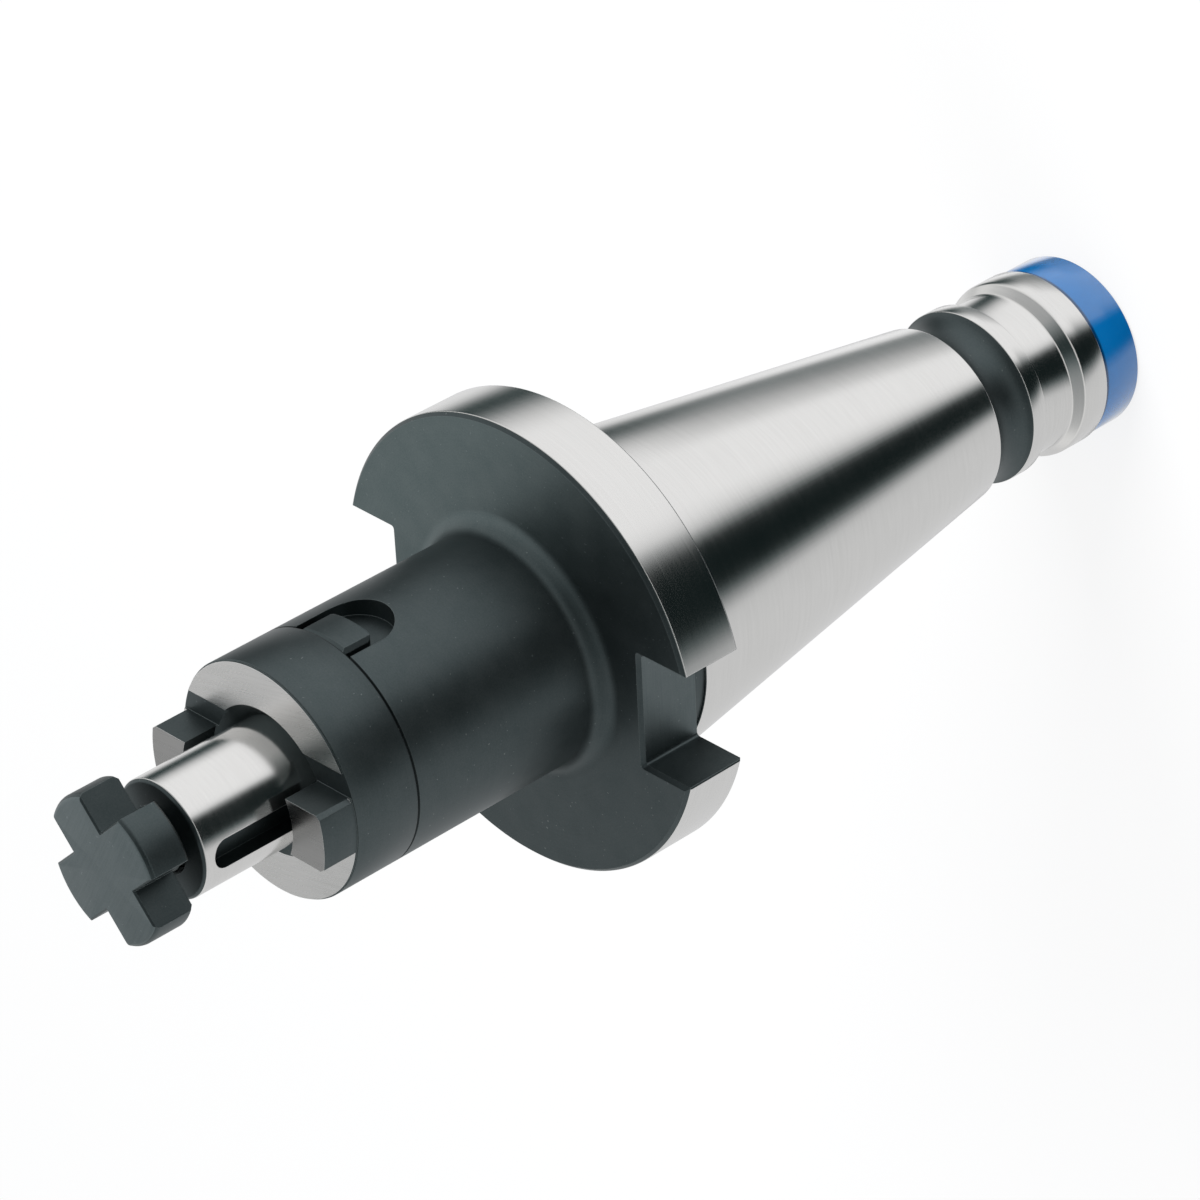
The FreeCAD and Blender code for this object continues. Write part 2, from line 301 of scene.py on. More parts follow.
def black_oxide(name, flat_turn=None, level=1.0, edge_wear_and_highlight=0.6, painted_light_side=False):
    """Blackened steel, its edges lightened by wear and a painted highlight, as far as the edge argument
    says.

    With painted light on one side, the flange's face grows lighter from +X to +Y, and the fillet fades
    back.
    """
    black = bpy.data.materials.new(name)
    nodes = Nodes(black)
    place = nodes.place()
    rounded = nodes.eased(0.12)
    edges = rubbed_and_highlit_edges(nodes, rounded)
    if flat_turn is None:
        marks = turned_marks(nodes, place, 6000.0, 12.0)
    else:
        marks = straight_marks(nodes, place, flat_turn, 3600.0, 120.0)
    grain = nodes.noise(place, 4800.0, 2.0, 0.6)
    cloud = nodes.noise(place, 260.0, 3.0, 0.55)
    specks = nodes.spread(nodes.noise(place, 2600.0, 0.0, 0.5), 0.82, 0.86)
    marked, raised = (0.15, 0.2) if flat_turn is None else (0.35, 0.8)
    tone = nodes.spread(marks * marked + cloud * 0.35 + grain * 0.4, 0.32, 0.62)
    dark, light = (0.074, 0.094, 0.097), (0.107, 0.128, 0.131)
    colour = nodes.blend(tone, scaled(dark, level), scaled(light, level))
    # Painted light: a reflection painted onto the flange's face, lighter towards +Y than towards +X and
    # fading up the fillet.
    if painted_light_side:
        painted_light_across = nodes.spread(nodes.split(place, "Y") - nodes.split(place, "X"), -0.012, 0.036)
        fillet_top = (FLANGE_FRONT + ROOT_FILLET) * MM
        down_fillet = nodes.spread(nodes.split(place, "Z"), fillet_top, FLANGE_FRONT * MM)
        painted_light = nodes.blend(tone, (0.128, 0.170, 0.172, 1.0), (0.188, 0.232, 0.232, 1.0))
        colour = nodes.blend(painted_light_across * down_fillet, colour, painted_light)
    speck, wear_and_painted_highlight = (0.40, 0.44, 0.44, 1.0), (0.26, 0.30, 0.30, 1.0)
    colour = nodes.blend(specks * 0.3, colour, speck)
    # Painted highlight along the edges, partly real wear: the colour there blends to a paler grey.
    colour = nodes.blend(edges * edge_wear_and_highlight, colour, wear_and_painted_highlight)
    rough = nodes.spread(cloud * 0.5 + grain * 0.5, 0.3, 0.7, 0.40, 0.47) - edges * 0.1
    relief = nodes.bump(marks * raised + grain * 0.6, 0.12, 0.00003, rounded)
    surface(nodes, {"Metallic": 1.0}, {"Base Color": colour, "Roughness": rough, "Normal": relief})
    return black


def blue_plastic():
    """Glossy blue, with painted shade in a thin line under the collar."""
    blue = bpy.data.materials.new("blue_plastic")
    nodes = Nodes(blue)
    place = nodes.place()
    marks = turned_marks(nodes, place, 2400.0, 6.0)
    cloud = nodes.noise(place, 140.0, 2.0, 0.5)
    deep, full, shaded = (0.0, 0.120, 0.352, 1.0), (0.0, 0.132, 0.38, 1.0), (0.0, 0.02, 0.06, 1.0)
    colour = nodes.blend(nodes.spread(cloud, 0.3, 0.7), deep, full)
    # Painted shade: a dark line on the ring just under the collar's edge.
    collar_painted_shade = nodes.spread(nodes.split(place, "Z"), (COLLAR_BACK - 0.75) * MM, (COLLAR_BACK - 0.5) * MM)
    colour = nodes.blend(collar_painted_shade * 0.85, colour, shaded)
    rough = nodes.spread(marks * 0.5 + cloud * 0.5, 0.3, 0.7, 0.06, 0.13)
    relief = nodes.bump(marks, 0.03, 0.00001, nodes.eased(0.1))
    gloss = {"IOR": 1.55, "Coat Weight": 1.0, "Coat Roughness": 0.04, "Coat IOR": 1.65}
    surface(nodes, gloss, {"Base Color": colour, "Roughness": rough, "Normal": relief})
    return blue


def spot(radius, height):
    """A point of a turned outline, in metres."""
    return Vector((radius * MM, 0.0, height * MM))


def turned(corners):
    """A solid turned about Z. A corner is a (radius, height), or (centre, degrees) for an arc to it."""
    form = bmesh.new()
    first = form.verts.new(spot(*corners[0]))
    last = first
    for corner in corners[1:]:
        if isinstance(corner[0], tuple):
            centre, degrees = corner
            swept = bmesh.ops.spin(form, geom=[last], cent=spot(*centre), axis=(0, 1, 0),
                                   angle=math.radians(degrees), steps=10)
            last = [part for part in swept["geom_last"] if isinstance(part, bmesh.types.BMVert)][0]
        else:
            vert = form.verts.new(spot(*corner))
            form.edges.new((last, vert))
            last = vert
    if corners[0][0] > 0:
        form.edges.new((last, first))
    bmesh.ops.remove_doubles(form, verts=form.verts, dist=1e-7)
    bmesh.ops.spin(form, geom=form.verts[:] + form.edges[:], cent=(0, 0, 0), axis=(0, 0, 1),
                   angle=2 * math.pi, steps=TURNED_STEPS, use_merge=True)
    bmesh.ops.remove_doubles(form, verts=form.verts, dist=1e-7)
    bmesh.ops.recalc_face_normals(form, faces=form.faces)
    return form


def bevel(form, edges, size, segments):
    bmesh.ops.bevel(form, geom=edges, offset=size * MM, offset_type="OFFSET", segments=segments,
                    profile=0.5, affect="EDGES", material=-1, clamp_overlap=True)


def ease(form, radius, height, size, segments=2):
    """Rounds the turned edge at this radius and height."""
    def on_edge(vert):
        return abs(vert.co.xy.length - radius * MM) < 2e-6 and abs(vert.co.z - height * MM) < 2e-6
    bevel(form, [edge for edge in form.edges if all(on_edge(vert) for vert in edge.verts)], size, segments)


def block(x0, x1, y0, y1, z0, z1):
    """A box between these sides."""
    form = bmesh.new()
    bmesh.ops.create_cube(form, size=MM)
    bmesh.ops.scale(form, vec=(x1 - x0, y1 - y0, z1 - z0), verts=form.verts)
    middle = Vector((x0 + x1, y0 + y1, z0 + z1)) * MM / 2
    bmesh.ops.translate(form, vec=middle, verts=form.verts)
    return form


def round_edges(form, chosen, size, segments):
    """Rounds the edges whose middles are chosen, in millimetres."""
    edges = [edge for edge in form.edges if chosen((edge.verts[0].co + edge.verts[1].co) / (2 * MM))]
    bevel(form, edges, size, segments)


def flare_top(form, rise):
    """Draws the upper face up and out by the same amount, so that a cutter leaves a chamfer."""
    form.faces.ensure_lookup_table()
    top = max(form.faces, key=lambda face: face.calc_center_median().z)
    grown = bmesh.ops.extrude_face_region(form, geom=[top])
    verts = [part for part in grown["geom"] if isinstance(part, bmesh.types.BMVert)]
    low = Vector(min(vert.co[axis] for vert in verts) for axis in range(3))
    high = Vector(max(vert.co[axis] for vert in verts) for axis in range(3))
    size = high - low
    factor = ((size.x + 2 * rise * MM) / size.x, (size.y + 2 * rise * MM) / size.y, 1.0)
    space = Matrix.Translation(-(low + high) / 2)
    bmesh.ops.scale(form, vec=factor, space=space, verts=verts)
    bmesh.ops.translate(form, vec=(0, 0, rise * MM), verts=verts)
    bmesh.ops.delete(form, geom=[top], context="FACES_ONLY")


def turn_round(form, degrees):
    """Turns a form about the arbor's axis."""
    about_axis = Matrix.Rotation(math.radians(degrees), 3, "Z")
    bmesh.ops.rotate(form, cent=(0, 0, 0), matrix=about_axis, verts=form.verts)
    return form


def cut_off(form, point, outward):
    """Cuts away what lies beyond a plane through this point and leaves the cut open."""
    bmesh.ops.bisect_plane(form, geom=form.verts[:] + form.edges[:] + form.faces[:], dist=1e-7,
                           plane_co=point, plane_no=outward, clear_outer=True)


def thread(pitch, crest, root, low, high):
    """A right-handed threaded rod: one pitch of its outline wound up a helix, its ends cut square."""
    form = bmesh.new()
    start = low - 2 * pitch
    outline = [(root, 0.0), (root, 0.10), (crest, 0.44), (crest, 0.56), (root, 0.90), (root, 1.0)]
    verts = [form.verts.new(spot(r, start + share * pitch)) for r, share in outline]
    edges = [form.edges.new(pair) for pair in zip(verts, verts[1:])]
    turns = math.ceil((high - low) / pitch) + 3
    rise = pitch * MM / THREAD_STEPS
    bmesh.ops.spin(form, geom=verts + edges, cent=(0, 0, 0), axis=(0, 0, 1), dvec=(0, 0, rise),
                   angle=2 * math.pi * turns, steps=THREAD_STEPS * turns)
    bmesh.ops.remove_doubles(form, verts=form.verts, dist=1e-6)
    for level, way in ((low, -1), (high, 1)):
        cut_off(form, (0, 0, level * MM), (0, 0, way))
        rim = [edge for edge in form.edges if edge.is_boundary and
               all(abs(vert.co.z - level * MM) < 1e-6 for vert in edge.verts)]
        bmesh.ops.edgeloop_fill(form, edges=rim)
    bmesh.ops.recalc_face_normals(form, faces=form.faces)
    return form


def solid(name, form):
    """A piece of the scene made of this form."""
    mesh = bpy.data.meshes.new(name)
    form.to_mesh(mesh)
    form.free()
    piece = bpy.data.objects.new(name, mesh)
    bpy.context.scene.collection.objects.link(piece)
    return piece


def work(piece, operation, forms):
    """Cuts each form from the piece, joins it on, or keeps what they have in common."""
    tools = [solid(piece.name + "_tool", form) for form in forms]
    for tool in tools:
        step = piece.modifiers.new(tool.name, "BOOLEAN")
        step.operation = operation
        step.solver = "EXACT"
        step.object = tool
    scene_now = bpy.context.evaluated_depsgraph_get()
    rough = piece.data
    piece.data = bpy.data.meshes.new_from_object(piece.evaluated_get(scene_now))
    piece.modifiers.clear()
    bpy.data.meshes.remove(rough)
    for tool in tools:
        bpy.data.meshes.remove(tool.data)


def drop_folds(form):
    """Splits the many-sided faces round the screw's hole and drops triangles lying back to back."""
    inside = PILOT_R - 1.5
    many_sided = [face for face in form.faces
                  if len(face.verts) > 4 and face.calc_center_median().xy.length < inside * MM]
    bmesh.ops.triangulate(form, faces=many_sided, quad_method="BEAUTY", ngon_method="BEAUTY")
    same_corners = {}
    for face in form.faces:
        same_corners.setdefault(frozenset(face.verts), []).append(face)
    folded = [face for faces in same_corners.values() if len(faces) > 1 for face in faces]
    bmesh.ops.delete(form, geom=folded, context="FACES")


def finish(piece, finishes, choose, body, node):
    """Gives each face its material, shades curved walls smooth and hands the piece to its body."""
    for material in finishes:
        piece.data.materials.append(material)
    form = bmesh.new()
    form.from_mesh(piece.data)
    bmesh.ops.remove_doubles(form, verts=form.verts, dist=1e-7)
    drop_folds(form)
    for face in form.faces:
        middle = face.calc_center_median()
        face.material_index = choose(middle.xy.length / MM, middle / MM, face.normal)
        face.smooth = True
    for edge in form.edges:
        edge.smooth = edge.calc_face_angle(0.0) < math.radians(SHARP_FROM)
    form.to_mesh(piece.data)
    form.free()
    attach(piece, body)
    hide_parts(node)


def arbor_blank():
    """The arbor as it leaves the lathe, with both holes drilled."""
    root = (SHOULDER_R + ROOT_FILLET, FLANGE_FRONT + ROOT_FILLET)
    point = 1 / math.tan(math.radians(DRILL_HALF_ANGLE))
    corners = [
        (0, DRAW_END + DRAW_TAP_R * point),
        (DRAW_TAP_R, DRAW_END),
        (DRAW_TAP_R, DRAW_MOUTH + 1),
        (DRAW_THREAD_R, DRAW_MOUTH),
        (DRAW_MOUTH_R, DRAW_MOUTH),
        (DRAW_MOUTH_R, TAIL),
        (SPIGOT_R, TAIL),
        (SPIGOT_R, COLLAR_BACK),
        (COLLAR_R, COLLAR_BACK),
        (COLLAR_R, COLLAR_FRONT),
        (GROOVE_R, GROOVE_BACK),
        (GROOVE_R, GUIDE_BACK),
        (GUIDE_R, GUIDE_BACK),
        (GUIDE_R, GUIDE_FRONT - GUIDE_CHAMFER),
        (GUIDE_R - GUIDE_CHAMFER, GUIDE_FRONT),
        waist_arc(),
        (TAPER_TOP_R, TAPER_TOP),
        (TAPER_TOP_R - TAPER_EDGE, TAPER_FRONT),
        (NECK_R, TAPER_FRONT),
        (NECK_R, FLANGE_BACK),
        (FLANGE_R - FLANGE_BACK_CHAMFER, FLANGE_BACK),
        (FLANGE_R, FLANGE_BACK + FLANGE_BACK_CHAMFER),
        (FLANGE_R, FLANGE_FRONT - FLANGE_FRONT_CHAMFER),
        (FLANGE_R - FLANGE_FRONT_CHAMFER, FLANGE_FRONT),
        (root[0], FLANGE_FRONT),
        (root, 90),
        (SHOULDER_R, SHOULDER_FRONT - SHOULDER_EDGE),
        (SHOULDER_R - SHOULDER_EDGE, SHOULDER_FRONT),
        (PILOT_R, SHOULDER_FRONT),
        (PILOT_R, PILOT_END - PILOT_CHAMFER),
        (PILOT_R - PILOT_CHAMFER, PILOT_END),
        (SCREW_HOLE_R + SCREW_HOLE_CHAMFER, PILOT_END),
        (SCREW_HOLE_R, PILOT_END - SCREW_HOLE_CHAMFER),
        (SCREW_HOLE_R, SCREW_HOLE_END),
        (0, SCREW_HOLE_END - SCREW_HOLE_R * point),
    ]
    form = turned(corners)
    ease(form, COLLAR_R, COLLAR_BACK, 0.15)
    ease(form, COLLAR_R, COLLAR_FRONT, 0.35)
    ease(form, GROOVE_R, GROOVE_BACK, 0.3)
    ease(form, GUIDE_R, GUIDE_BACK, 0.15)
    ease(form, GUIDE_R, GUIDE_FRONT - GUIDE_CHAMFER, 0.1)
    ease(form, TAPER_SMALL_R, TAPER_BACK, 0.12)
    ease(form, TAPER_TOP_R, TAPER_TOP, 0.12)
    ease(form, FLANGE_R, FLANGE_FRONT - FLANGE_FRONT_CHAMFER, 0.1)
    ease(form, PILOT_R, PILOT_END - PILOT_CHAMFER, 0.1)
    ease(form, PILOT_R - PILOT_CHAMFER, PILOT_END, 0.1)
    return form


def waist_arc():
    """Centre and sweep of the waist's hollow, through its two ends and its narrowest radius."""
    front = Vector((TAPER_SMALL_R, TAPER_BACK))
    back = Vector((GUIDE_R - GUIDE_CHAMFER, GUIDE_FRONT))
    chord = front - back
    depth = (front + back).x / 2 - WAIST_R
    radius = chord.length_squared / (8 * depth) + depth / 2
    outward = Vector((chord.y, -chord.x)).normalized()
    centre = (front + back) / 2 + outward * (radius - depth)
    sweep = 2 * math.degrees(math.asin(chord.length / (2 * radius)))
    return ((centre.x, centre.y), sweep)


def drive_slot(turn):
    """The cutter for a slot of the flange, wider in front where it leaves the chamfer."""
    low = FLANGE_BACK - 1
    high = FLANGE_FRONT - SLOT_CHAMFER
    form = block(SLOT_FLOOR, FLANGE_R + 8.5, -SLOT_HALF, SLOT_HALF, low, high)
    round_edges(form, lambda p: p.x < SLOT_FLOOR + 0.1 and abs(p.y) > SLOT_HALF - 0.1
                and abs(p.z - (low + high) / 2) < 0.1, SLOT_CORNER, 6)
    flare_top(form, 2 * SLOT_CHAMFER)
    return turn_round(form, turn)


def rim_bevel(turn, side):
    """Takes the small chamfer off a drive slot's edge on the flange's rim."""
    on_wall = (math.sqrt(FLANGE_R ** 2 - SLOT_HALF ** 2) - SLOT_RIM_CHAMFER, SLOT_HALF)
    form = block(-1, 1, min(-side, 0), max(-side, 0), FLANGE_BACK - 1, FLANGE_FRONT + 1)
    turn_round(form, SLOT_RIM_SLOPE * side)
    bmesh.ops.translate(form, vec=Vector((on_wall[0], on_wall[1] * side, 0)) * MM, verts=form.verts)
    return turn_round(form, turn)


def shoulder_slot(turn):
    """The cutter for a slot of the shoulder, half round at its closed end."""
    half, back = SHOULDER_SLOT_HALF, SHOULDER_SLOT_BACK
    form = block(-half, half, SHOULDER_SLOT_FLOOR, SHOULDER_R + 2, back, SHOULDER_FRONT + 2)
    round_edges(form, lambda p: p.z < back + 0.1 and abs(p.x) > half - 0.1, half - 0.001, 24)
    return turn_round(form, turn)


def keyway():
    """The cutter for the pilot's keyway, half round at both ends."""
    top = PILOT_R + 1
    form = block(KEYWAY_FLOOR, top, -KEYWAY_HALF, KEYWAY_HALF, KEYWAY_BACK, KEYWAY_FRONT)
    round_edges(form, lambda p: abs(p.y) > KEYWAY_HALF - 0.1
                and min(p.z - KEYWAY_BACK, KEYWAY_FRONT - p.z) < 0.1
                and abs(p.x - (KEYWAY_FLOOR + top) / 2) < 0.1, KEYWAY_HALF - 0.001, 16)
    return form


def arbor_finish(radius, middle, normal):
    """Ground on the taper, rim, tail and pilot, and black elsewhere."""
    outward = (normal.x * middle.x + normal.y * middle.y) / max(radius, 0.001)
    height = middle.z
    off_cone = abs(radius - (GAUGE_R + TAPER_RATE * height))
    off_slot_floor = abs(abs(middle.x) - SLOT_FLOOR)
    if TAPER_BACK - 0.05 < height < 0.2 and off_cone < 0.12 and outward > 0.5:
        return STEEL
    if radius > FLANGE_R - 0.07 and outward > 0.3 and height > FLANGE_BACK + FLANGE_BACK_CHAMFER:
        return STEEL
    if normal.z > 0.9 and height > PILOT_END - 0.05:
        return FACE
    if FLANGE_FRONT - 0.01 < height < FLANGE_FRONT + ROOT_FILLET and radius > SHOULDER_R + 0.01:
        return FACE
    # The slot floors take the lighter oxide, painted light.
    if abs(normal.x) > 0.99 and FLANGE_BACK < height < FLANGE_FRONT - 0.4 and off_slot_floor < 0.05:
        return MILLED
    # Painted shade: a darker oxide on the shoulder's rounded front edge, where the ring sits against it.
    if abs(height - SHOULDER_FRONT) < 0.25 and SHOULDER_R - 0.4 < radius < SHOULDER_R and normal.z > 0.3:
        return SHADED_JOINT
    if GROOVE_R - 0.1 < radius and COLLAR_BACK - 0.1 < height < GUIDE_BACK + 0.01:
        return STEEL
    if radius > GUIDE_R - 0.2 and GUIDE_BACK - 0.1 < height < GUIDE_FRONT - 0.2:
        return STEEL
    if PILOT_R - 0.05 < radius < PILOT_R + 0.1 and height > SHOULDER_FRONT and outward > 0.75:
        return STEEL
    if height < TAIL + 0.1:
        return STEEL
    return BLACK


def make_arbor(finishes):
    piece = solid("arbor", arbor_blank())
    tools = [drive_slot(0), drive_slot(180), shoulder_slot(0), shoulder_slot(180), keyway(),
             rim_bevel(0, 1), rim_bevel(0, -1), rim_bevel(180, 1), rim_bevel(180, -1),
             thread(DRAW_PITCH, DRAW_THREAD_R, DRAW_TAP_R - 0.2, DRAW_MOUTH - 3, DRAW_END - 3),
             thread(SCREW_PITCH, SCREW_HOLE_R + 0.55, SCREW_HOLE_R - 0.15, SCREW_THREAD_END, PILOT_END + 2)]
    work(piece, "DIFFERENCE", tools)
    finish(piece, finishes, arbor_finish, "arbor", "arbor_body")


def ring_blank():
    """The ring without lugs, bored and recessed, its face standing proud by the relief's depth."""
    flare = RING_FRONT - (RING_RECESS_R - RING_BORE_R)
    form = turned([
        (RING_BORE_R, SHOULDER_FRONT + RING_BACK_CHAMFER),
        (RING_BORE_R, flare),
        (RING_RECESS_R, RING_FRONT),
        (RING_EDGE_R, RING_FRONT),
        (RING_EDGE_R, RING_FRONT - RELIEF_DEPTH),
        (SHOULDER_R, RING_FRONT - RELIEF_DEPTH),
        (SHOULDER_R, SHOULDER_FRONT),
        (RING_BORE_R + RING_BACK_CHAMFER, SHOULDER_FRONT),
    ])
    ease(form, SHOULDER_R, RING_FRONT - RELIEF_DEPTH, 0.12)
    ease(form, SHOULDER_R, SHOULDER_FRONT, 0.2)
    return form


def lug_sleeve():
    """The turned shape that all four lugs share, sunk a little where it lies in the ring."""
    back = SHOULDER_FRONT - LUG_HEIGHT
    sunk = RING_EDGE_R - LUG_SUNK
    return turned([
        (RING_RECESS_R, back),
        (RING_RECESS_R, RING_FRONT + LUG_HEIGHT),
        (RING_EDGE_R, RING_FRONT + LUG_HEIGHT),
        (RING_EDGE_R, SHOULDER_FRONT + 3),
        (sunk, SHOULDER_FRONT + 3),
        (sunk, SHOULDER_FRONT),
        (RING_EDGE_R, SHOULDER_FRONT - 2 * LUG_SUNK),
        (RING_EDGE_R, back),
    ])


def chamfer_corner(form, side):
    """Planes off a lug's long outer edge, where its side meets the turned outside."""
    edge = Vector((math.sqrt(RING_EDGE_R ** 2 - LUG_HALF ** 2), LUG_HALF * side, 0))
    tangent = Vector((-edge.y, edge.x, 0)).normalized()
    inner = edge - Vector((LUG_CHAMFER, 0, 0))
    outer = edge - tangent * LUG_CHAMFER * side
    along = outer - inner
    normal = Vector((-along.y, along.x, 0)) * side
    cut_off(form, inner * MM, normal)
    bmesh.ops.holes_fill(form, edges=[edge for edge in form.edges if edge.is_boundary], sides=0)


def lug(turn, inner, low, high, rounded):
    """The block that a lug is kept from, with its back rounded if it is a rear one."""
    form = block(inner, SHOULDER_R + 1, -LUG_HALF, LUG_HALF, low, high)
    if rounded:
        round_edges(form, lambda p: abs(p.y) > LUG_HALF - 0.1 and p.z < low + 0.1, REAR_LUG_ROUND, 6)
    for side in (1, -1):
        chamfer_corner(form, side)
    return turn_round(form, turn + RING_TURN)


def relief(side):
    """The cutter for the shallow strip across the ring's face beside the front lugs."""
    form = block(-40, 40, LUG_HALF * side, RELIEF_EDGE * side, RING_FRONT - RELIEF_DEPTH, RING_FRONT + 1)
    return turn_round(form, RING_TURN)


def ring_finish(radius, middle, normal):
    """Ground on the lugs' fronts and the proud face, milled in the relief, and black elsewhere."""
    # The lugs' fronts take the darker steel, painted shade.
    if normal.z > 0.99 and middle.z > RING_FRONT + 1:
        return FACE
    if normal.z > 0.99 and middle.z > RING_FRONT - 0.02:
        return STEEL
    if middle.z > RING_FRONT - RELIEF_DEPTH - 0.05 and radius < RING_EDGE_R - 0.2:
        return MILLED
    # Painted shade: a darker oxide on the ring's back edge, where it sits against the shoulder.
    if middle.z < SHOULDER_FRONT + 0.25 and radius > SHOULDER_R - 0.3 and normal.z < -0.3:
        return SHADED_JOINT
    return BLACK


def taken_back(piece):
    """A helper piece's form, with the piece itself taken out of the scene."""
    form = bmesh.new()
    form.from_mesh(piece.data)
    bpy.data.meshes.remove(piece.data)
    return form


def make_ring(finishes):
    front = RING_FRONT + LUG_HEIGHT
    back = SHOULDER_FRONT - LUG_HEIGHT
    inner = RING_RECESS_R - 1.1
    blocks = solid("driving_ring_blocks", lug(0, inner, RING_FRONT - 2, front, False))
    work(blocks, "UNION", [lug(180, inner, RING_FRONT - 2, front, False),
                           lug(90, REAR_LUG_INNER, back, SHOULDER_FRONT + 2, True),
                           lug(270, REAR_LUG_INNER, back, SHOULDER_FRONT + 2, True)])
    lugs = solid("driving_ring_lugs", lug_sleeve())
    work(lugs, "INTERSECT", [taken_back(blocks)])
    piece = solid("driving_ring_dressed", ring_blank())
    work(piece, "DIFFERENCE", [relief(1), relief(-1)])
    work(piece, "UNION", [taken_back(lugs)])
    finish(piece, finishes, ring_finish, "driving_ring", "driving_ring")


def head_notch(turn):
    """The cutter that leaves two arms of the cross standing, with chamfers along their fronts."""
    form = block(HEAD_ARM_HALF, 14, HEAD_ARM_HALF, 14, HEAD_BACK - 2, HEAD_FRONT - HEAD_CHAMFER / 2)
    flare_top(form, HEAD_CHAMFER)
    return turn_round(form, turn)


def screw_envelope():
    """A plain pin with a chamfered end, just over the thread's crests."""
    outside = SCREW_R + 0.05
    return turned([
        (0, SCREW_END),
        (outside - SCREW_POINT, SCREW_END),
        (outside, SCREW_END + SCREW_POINT),
        (outside, HEAD_BACK + 1),
        (0, HEAD_BACK + 1),
    ])


def screw_finish(radius, middle, normal):
    """Lighter on the front of the cross, and black elsewhere."""
    return FACE if normal.z > 0.8 and middle.z > HEAD_FRONT - 0.2 else BLACK


def make_screw(finishes):
    head = turned([
        (0, HEAD_BACK),
        (HEAD_R - HEAD_CHAMFER, HEAD_BACK),
        (HEAD_R, HEAD_BACK + HEAD_CHAMFER),
        (HEAD_R, HEAD_FRONT - HEAD_CHAMFER),
        (HEAD_R - HEAD_CHAMFER, HEAD_FRONT),
        (0, HEAD_FRONT),
    ])
    ease(head, HEAD_R, HEAD_FRONT - HEAD_CHAMFER, 0.25)
    ease(head, HEAD_R - HEAD_CHAMFER, HEAD_FRONT, 0.25)
    piece = solid("clamp_screw_dressed", head)
    work(piece, "DIFFERENCE", [head_notch(HEAD_TURN + quarter) for quarter in (0, 90, 180, 270)])
    rod = thread(SCREW_PITCH, SCREW_R - 0.02, SCREW_ROOT_R, SCREW_END - 1, HEAD_BACK + 1)
    shank = solid("clamp_screw_shank", rod)
    work(shank, "INTERSECT", [screw_envelope()])
    work(piece, "UNION", [taken_back(shank)])
    finish(piece, finishes, screw_finish, "clamp_screw", "clamp_screw")


def make_colour_ring(plastic):
    form = turned([
        (SPIGOT_R, TAIL),
        (COLOUR_RING_R, TAIL),
        (COLOUR_RING_R, COLLAR_BACK),
        (SPIGOT_R, COLLAR_BACK),
    ])
    ease(form, COLOUR_RING_R, TAIL, 0.3, 3)
    ease(form, COLOUR_RING_R, COLLAR_BACK, 0.08)
    piece = solid("blue_ring", form)
    finish(piece, [plastic], lambda radius, middle, normal: 0, "arbor", "colour_ring")


def studio_ramp(levels):
    """A ramp's stops from (direction in degrees from +X, level) pairs."""
    return [((angle + 180) / 360, level) for angle, level in levels]


def below_levels():
    """What the walls see: the studio below eye level, round about."""
    return studio_ramp([
        (-180, 0.68), (-170, 0.85), (-150, 0.78), (-130, 0.71), (-40, 0.71), (-14, 0.68), (-6, 0.40),
        (2, 0.10), (8, 0.012), (40, 0.012), (46, 0.35), (50, 0.85), (58, 1.0), (125, 1.0), (133, 0.85),
        (141, 0.60), (150, 0.22), (158, 0.05), (167, 0.06), (174, 0.33), (180, 0.68),
    ])


def lowest_levels():
    """What the long taper sees, lower still."""
    return studio_ramp([
        (-180, 0.70), (-173, 0.98), (-165, 1.0), (-150, 0.80), (-130, 0.71), (-40, 0.71), (-14, 0.68),
        (-6, 0.38), (2, 0.08), (8, 0.012), (40, 0.012), (46, 0.22), (53, 0.62), (61, 0.88), (70, 1.0),
        (113, 1.0), (127, 0.70), (139, 0.53), (150, 0.35), (166, 0.24), (175, 0.28), (180, 0.70),
    ])


def above_levels():
    """What the faces see: the studio above eye level, round about."""
    return studio_ramp([
        (-180, 0.75), (-160, 0.75), (-143, 0.68), (-136, 0.46), (-110, 0.42), (-95, 0.62), (-90, 0.65),
        (-42, 0.45), (-6, 0.32), (5, 0.25), (16, 0.13), (30, 0.03), (45, 0.03), (64, 0.25), (76, 0.42),
        (122, 0.51), (151, 0.70), (180, 0.75),
    ])


def seen_plainly(nodes):
    """1 for what the camera sees straight or through glass, 0 for light that falls on the object."""
    sees = nodes.node("ShaderNodeLightPath", {}, {}, "Is Camera Ray")
    return sees + nodes.node("ShaderNodeLightPath", {}, {}, "Is Transmission Ray")


def pale_floor():
    """White to the eye, with enough plain paint left in it to keep the object's shadow."""
    paint = bpy.data.materials.new("studio_floor")
    nodes = Nodes(paint)
    plain = nodes.node("ShaderNodeBsdfDiffuse", {}, {"Color": (0.82, 0.82, 0.82, 1.0)})
    white = nodes.node("ShaderNodeEmission", {}, {"Color": (1.0, 1.0, 1.0, 1.0), "Strength": 1.0})
    seen = nodes.node("ShaderNodeMixShader", {}, {0: seen_plainly(nodes) * 0.8, 1: plain, 2: white})
    nodes.node("ShaderNodeOutputMaterial", {}, {"Surface": seen})
    return paint


def make_floor():
    """A wide disc just under the tail, which no metal mirrors."""
    form = bmesh.new()
    bmesh.ops.create_circle(form, cap_ends=True, radius=4.0, segments=96)
    bmesh.ops.translate(form, vec=(0, 0, TAIL * MM - 0.0002), verts=form.verts)
    floor = solid("floor", form)
    floor.data.materials.append(pale_floor())
    floor.visible_glossy = False


